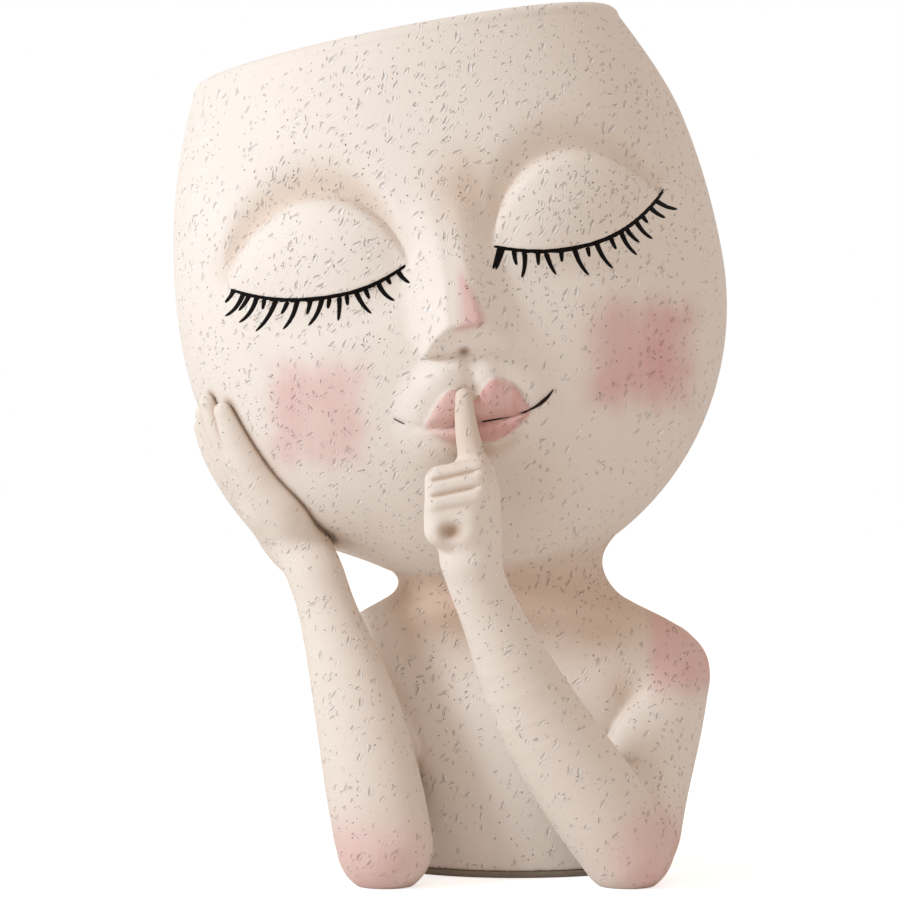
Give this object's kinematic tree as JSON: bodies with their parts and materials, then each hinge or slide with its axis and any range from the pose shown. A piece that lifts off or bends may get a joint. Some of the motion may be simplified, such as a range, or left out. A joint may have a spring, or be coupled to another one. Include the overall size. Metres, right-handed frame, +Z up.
{
  "type": "face vase",
  "caption": "Matte cast-resin vase: a leaning doll-like head with closed eyes and an open crown, on a bust with a hand on its cheek and a finger on its lips",
  "frame": {"origin": "centre of the underside of the base pad, on the surface that the vase stands on", "axes": "+Z up; the face looks along -Y; +X is the viewer's right"},
  "size_m": [0.1523, 0.1357, 0.2376],
  "materials": {
    "cast_resin": "matte cold-cast resin, finely pitted, with painted blush and lashes",
    "filled_resin": "matte, unpainted",
    "foam_rubber": "matte foam",
    "steel": "drawn"
  },
  "bodies": {
    "root": {"head_vessel": "cast_resin", "bust": "cast_resin", "right_forearm": "cast_resin", "left_forearm": "cast_resin", "base_plate": "filled_resin", "base_pad": "foam_rubber", "neck_dowel": "steel", "right_elbow_dowel": "steel", "left_elbow_dowel": "steel"}
  },
  "joints": []
}
